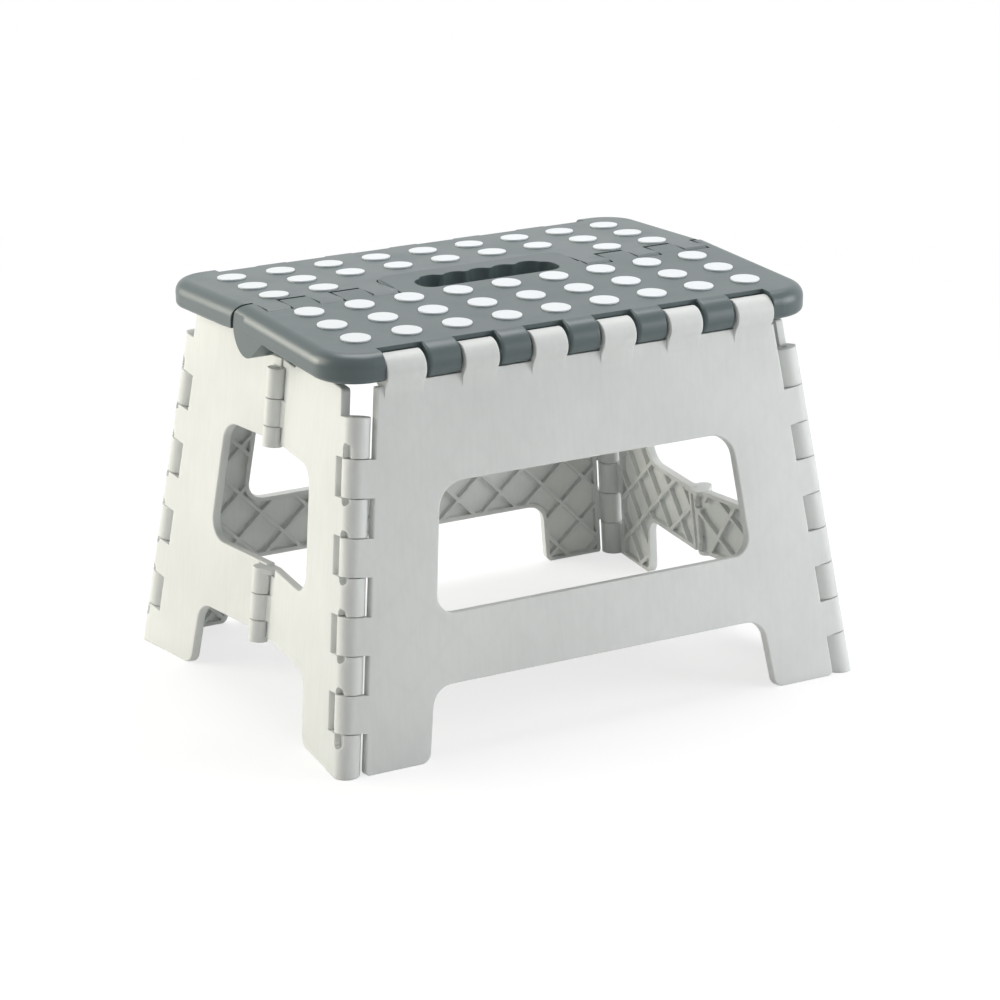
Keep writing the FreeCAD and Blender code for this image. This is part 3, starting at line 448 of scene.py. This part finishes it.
def dot_profile(dots):
    """Side outline of a dot from its middle to its foot, as (distance from the middle, height).

    The crown is a flat parabola, the rim a quarter circle, and the side a straight drop to the recess's floor.
    """
    flat = dots.radius - dots.rim
    across = np.linspace(DOT_FIRST_RING, 1.0, DOT_RINGS)
    crown = np.stack([flat * across, dots.proud + dots.crown * (1 - across ** 2)], axis=1)
    angle = np.linspace(0.0, math.pi / 2, DOT_RINGS)[1:]
    rim = np.stack([flat + dots.rim * np.sin(angle), dots.proud - dots.rim * (1 - np.cos(angle))], axis=1)
    foot = np.array([[dots.radius, -dots.sunk]])
    return np.concatenate([crown, rim, foot])


def turned_solids(name, centres, profile, steps, top):
    """Mesh of closed turned solids, one per centre.

    Every point is centre + (r cos a, r sin a, h), with (r, h) along the profile and a round the turn;
    one point on the axis closes the top of each solid and one closes its foot.
    """
    count, rings = len(centres), len(profile)
    angle = np.arange(steps) * (2 * math.pi / steps)
    points = np.zeros((count, rings * steps + 2, 3))
    body = points[:, :-2].reshape(count, rings, steps, 3)
    body[..., 0] = centres[:, None, None, 0] + profile[None, :, None, 0] * np.cos(angle)
    body[..., 1] = centres[:, None, None, 1] + profile[None, :, None, 0] * np.sin(angle)
    body[..., 2] = profile[None, :, None, 1]
    points[:, -2:, :2] = centres[:, None, :]
    points[:, -2, 2] = top
    points[:, -1, 2] = profile[-1, 1]
    here = np.arange(steps)
    after = np.roll(here, -1)
    ring = np.arange(rings - 1)[:, None] * steps
    quads = np.stack([ring + here, ring + steps + here, ring + steps + after, ring + after], axis=-1)
    apex = np.full(steps, rings * steps)
    last = (rings - 1) * steps
    caps = np.concatenate([np.stack([apex, here, after], axis=1),
                           np.stack([apex + 1, last + after, last + here], axis=1)])
    shift = np.arange(count)[:, None, None] * points.shape[1]
    return filled_mesh(name, points.reshape(-1, 3), (quads.reshape(-1, 4) + shift).reshape(-1, 4),
                       (caps + shift).reshape(-1, 3))


def filled_mesh(name, points, quads, triangles):
    """Mesh from whole arrays of points, four-sided faces and three-sided faces, shaded smooth."""
    mesh = bpy.data.meshes.new(name)
    mesh.vertices.add(len(points))
    mesh.vertices.foreach_set("co", np.ascontiguousarray(points, np.float32).ravel())
    corners = np.concatenate([quads.ravel(), triangles.ravel()]).astype(np.int32)
    mesh.loops.add(len(corners))
    mesh.loops.foreach_set("vertex_index", corners)
    sizes = np.concatenate([np.full(len(quads), 4), np.full(len(triangles), 3)])
    mesh.polygons.add(len(sizes))
    mesh.polygons.foreach_set("loop_start", (np.cumsum(sizes) - sizes).astype(np.int32))
    mesh.polygons.foreach_set("use_smooth", np.ones(len(sizes), bool))
    mesh.update(calc_edges=True)
    mesh.validate()
    return mesh


def top_matrix(dots, front):
    """Row frame of one half of the top: x along it, y away from the ridge, z out of its surface."""
    way = -1.0 if front else 1.0
    along = Vector((-way, 0.0, 0.0))
    out = Vector((0.0, way * math.cos(dots.fall), -math.sin(dots.fall)))
    up = along.cross(out)
    turn = Matrix((along, out, up)).transposed()
    return Matrix.LocRotScale(Vector((0.0, 0.0, dots.ridge)), turn, None)


def add_dots(name, dots, front, material):
    """One half's dots as a piece that rides on that half and stands for its CAD discs."""
    body = "front_top" if front else "rear_top"
    profile = dot_profile(dots)
    mesh = turned_solids(name, dot_centres(dots, front), profile, dots.turns, dots.proud + dots.crown)
    mesh.transform(top_matrix(dots, front))
    mesh.set_sharp_from_angle(angle=DOT_SHARP)
    mesh.materials.append(material)
    piece = bpy.data.objects.new(name, mesh)
    bpy.context.scene.collection.objects.link(piece)
    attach(piece, body)
    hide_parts("front_dots" if front else "rear_dots")


def flat_sheet(name, half, steps):
    """Square level sheet at height 0: points (u, v, 0) on an even grid."""
    line = np.linspace(-half, half, steps + 1)
    u, v = np.meshgrid(line, line)
    points = np.stack([u.ravel(), v.ravel(), np.zeros(u.size)], axis=1)
    index = np.arange(u.size).reshape(steps + 1, steps + 1)
    quads = np.stack([index[:-1, :-1], index[:-1, 1:], index[1:, 1:], index[1:, :-1]], axis=-1)
    return filled_mesh(name, points, quads.reshape(-1, 4), np.zeros((0, 3), int))


def seen_ray(tree):
    """1 for rays that come from the camera, a mirror or glass, and 0 for the light that lands on the object."""
    path = node(tree, "ShaderNodeLightPath")
    some = math_node(tree, "MAXIMUM", path.outputs["Is Camera Ray"], path.outputs["Is Glossy Ray"])
    return math_node(tree, "MAXIMUM", some, path.outputs["Is Transmission Ray"])


def floor_material(pool):
    """Pale floor that keeps the object's soft shadow near it and fades to plain white further out."""
    material = bpy.data.materials.new("pale_floor")
    material.use_nodes = True
    tree = material.node_tree
    tree.nodes.remove(tree.nodes["Principled BSDF"])
    plain = node(tree, "ShaderNodeBsdfDiffuse", {"Color": FLOOR_BOUNCE})
    veil = node(tree, "ShaderNodeBsdfDiffuse", {"Color": FLOOR_VEIL})
    glow = node(tree, "ShaderNodeEmission", {"Color": WHITE, "Strength": FLOOR_GLOW})
    near = node(tree, "ShaderNodeAddShader", {0: veil.outputs[0], 1: glow.outputs[0]})
    white = node(tree, "ShaderNodeEmission", {"Color": WHITE, "Strength": 1.0})
    place = node(tree, "ShaderNodeTexCoord").outputs["Object"]
    away = node(tree, "ShaderNodeVectorMath", {0: place}, operation="LENGTH").outputs["Value"]
    fade = ramp(tree, away, *pool)
    seen = node(tree, "ShaderNodeMixShader", {0: fade, 1: near.outputs[0], 2: white.outputs[0]})
    choice = node(tree, "ShaderNodeMixShader", {0: seen_ray(tree), 1: plain.outputs[0], 2: seen.outputs[0]})
    tree.links.new(choice.outputs[0], tree.nodes["Material Output"].inputs["Surface"])
    return material


def studio_world(strength):
    """Even sky light for the object, and plain white for what the camera sees past the floor."""
    world = bpy.data.worlds.new("studio")
    world.use_nodes = True
    tree = world.node_tree
    sky = tree.nodes["Background"]
    sky.inputs["Color"].default_value = WHITE
    sky.inputs["Strength"].default_value = strength
    white = node(tree, "ShaderNodeBackground", {"Color": WHITE, "Strength": 1.0})
    choice = node(tree, "ShaderNodeMixShader", {0: seen_ray(tree), 1: sky.outputs[0], 2: white.outputs[0]})
    tree.links.new(choice.outputs[0], tree.nodes["World Output"].inputs["Surface"])
    bpy.context.scene.world = world


def soft_lamp(name, power, colour, side, place):
    """Square area lamp at a place, turned to the aim point and hidden from the camera."""
    lamp = bpy.data.lights.new(name, "AREA")
    lamp.energy = power
    lamp.color = colour
    lamp.size = side
    holder = bpy.data.objects.new(name, lamp)
    holder.location = place
    holder.rotation_euler = (Vector(LAMP_AIM) - Vector(place)).to_track_quat("-Z", "Y").to_euler()
    holder.visible_camera = False
    bpy.context.scene.collection.objects.link(holder)


def photo_camera(stage):
    """Camera whose axes follow from its azimuth, elevation and roll."""
    right = Vector((math.cos(stage.azimuth), math.sin(stage.azimuth), 0.0))
    back = Vector((math.sin(stage.azimuth) * math.cos(stage.elevation),
                   -math.cos(stage.azimuth) * math.cos(stage.elevation), math.sin(stage.elevation)))
    turn = Matrix((right, back.cross(right), back)).transposed() @ Matrix.Rotation(stage.roll, 3, "Z")
    data = bpy.data.cameras.new("photo_camera")
    data.sensor_width = CAMERA_FRAME_MM
    data.lens = stage.lens
    data.clip_start = CAMERA_NEAR
    camera = bpy.data.objects.new("photo_camera", data)
    camera.matrix_world = Matrix.LocRotScale(Vector(stage.stand), turn, None)
    bpy.context.scene.collection.objects.link(camera)
    bpy.context.scene.camera = camera


class STOOL_OT_top(Operator):
    """Dress both halves of the top in satin slate plastic"""
    bl_idname = "stool.top"
    bl_label = "Top halves"

    def execute(self, context):
        finish = context.scene.stool_finish
        dress(TOP_HALVES, moulded_plastic("slate_plastic", finish.slate, finish, roughness=0.32, bump=0.10,
                                          worn=0.10, streak=0.10, index=1.6))
        return {"FINISHED"}


class STOOL_OT_dots(Operator):
    """Set the white grip dots into both halves of the top"""
    bl_idname = "stool.dots"
    bl_label = "Grip dots"

    def execute(self, context):
        finish = context.scene.stool_finish
        dots = context.scene.stool_dots
        rubber = dot_rubber("dot_rubber", finish.dot, finish)
        add_dots("front_grip_dots", dots, True, rubber)
        add_dots("rear_grip_dots", dots, False, rubber)
        return {"FINISHED"}


class STOOL_OT_legs(Operator):
    """Dress the front and rear legs in light moulded plastic"""
    bl_idname = "stool.legs"
    bl_label = "Legs"

    def execute(self, context):
        finish = context.scene.stool_finish
        dress(LEGS, moulded_plastic("leg_plastic", finish.light, finish, roughness=0.44, bump=0.08,
                                    worn=0.05, streak=0.04, sink_shading=0.12, depth=0.4))
        return {"FINISHED"}


class STOOL_OT_ends(Operator):
    """Dress the folding end halves in light moulded plastic"""
    bl_idname = "stool.ends"
    bl_label = "Ends"

    def execute(self, context):
        finish = context.scene.stool_finish
        dress(ENDS, moulded_plastic("end_plastic", finish.light, finish, roughness=0.44, bump=0.08,
                                    worn=0.05, streak=0.04, depth=0.4))
        return {"FINISHED"}


class STOOL_OT_pins(Operator):
    """Dress the hinge pins in drawn steel"""
    bl_idname = "stool.pins"
    bl_label = "Hinge pins"

    def execute(self, context):
        finish = context.scene.stool_finish
        dress(PINS, drawn_steel("pin_steel", finish.steel, finish))
        return {"FINISHED"}


class STOOL_OT_stage(Operator):
    """Set the floor, the soft lamps and the camera"""
    bl_idname = "stool.stage"
    bl_label = "Stage"

    def execute(self, context):
        stage = context.scene.stool_stage
        context.scene.view_settings.view_transform = "Standard"
        mesh = flat_sheet("floor", FLOOR_HALF, FLOOR_STEPS)
        mesh.materials.append(floor_material(stage.pool))
        floor = bpy.data.objects.new("floor", mesh)
        context.scene.collection.objects.link(floor)
        studio_world(stage.sky)
        soft_lamp("key", stage.key, stage.warm, KEY_SIDE, KEY_PLACE)
        soft_lamp("rim", stage.rim, stage.warm, RIM_SIDE, RIM_PLACE)
        soft_lamp("overhead", stage.over, PLAIN_LIGHT, OVER_SIDE, OVER_PLACE)
        soft_lamp("fill", stage.fill, stage.cool, FILL_SIDE, FILL_PLACE)
        photo_camera(stage)
        return {"FINISHED"}


STEPS = (STOOL_OT_top, STOOL_OT_dots, STOOL_OT_legs, STOOL_OT_ends, STOOL_OT_pins, STOOL_OT_stage)


class STOOL_PT_panel(Panel):
    """Lists the stool's steps and sizes"""
    bl_idname = "STOOL_PT_panel"
    bl_label = "Folding step stool"
    bl_space_type = "VIEW_3D"
    bl_region_type = "UI"
    bl_category = "Stool"

    def draw(self, context):
        for step in STEPS:
            self.layout.operator(step.bl_idname)
        for settings in (context.scene.stool_finish, context.scene.stool_dots, context.scene.stool_stage):
            box = self.layout.box()
            for name in settings.__annotations__:
                box.prop(settings, name)


SETTINGS = {"stool_dots": StoolDots, "stool_finish": StoolFinish, "stool_stage": StoolStage}
CLASSES = tuple(SETTINGS.values()) + STEPS + (STOOL_PT_panel,)


def register():
    for cls in CLASSES:
        bpy.utils.register_class(cls)
    for name, cls in SETTINGS.items():
        setattr(bpy.types.Scene, name, PointerProperty(type=cls))


def unregister():
    for name in SETTINGS:
        delattr(bpy.types.Scene, name)
    for cls in reversed(CLASSES):
        bpy.utils.unregister_class(cls)


def main():
    """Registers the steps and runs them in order."""
    register()
    bpy.ops.stool.top()
    bpy.ops.stool.dots()
    bpy.ops.stool.legs()
    bpy.ops.stool.ends()
    bpy.ops.stool.pins()
    bpy.ops.stool.stage()


if __name__ == "__main__":
    main()
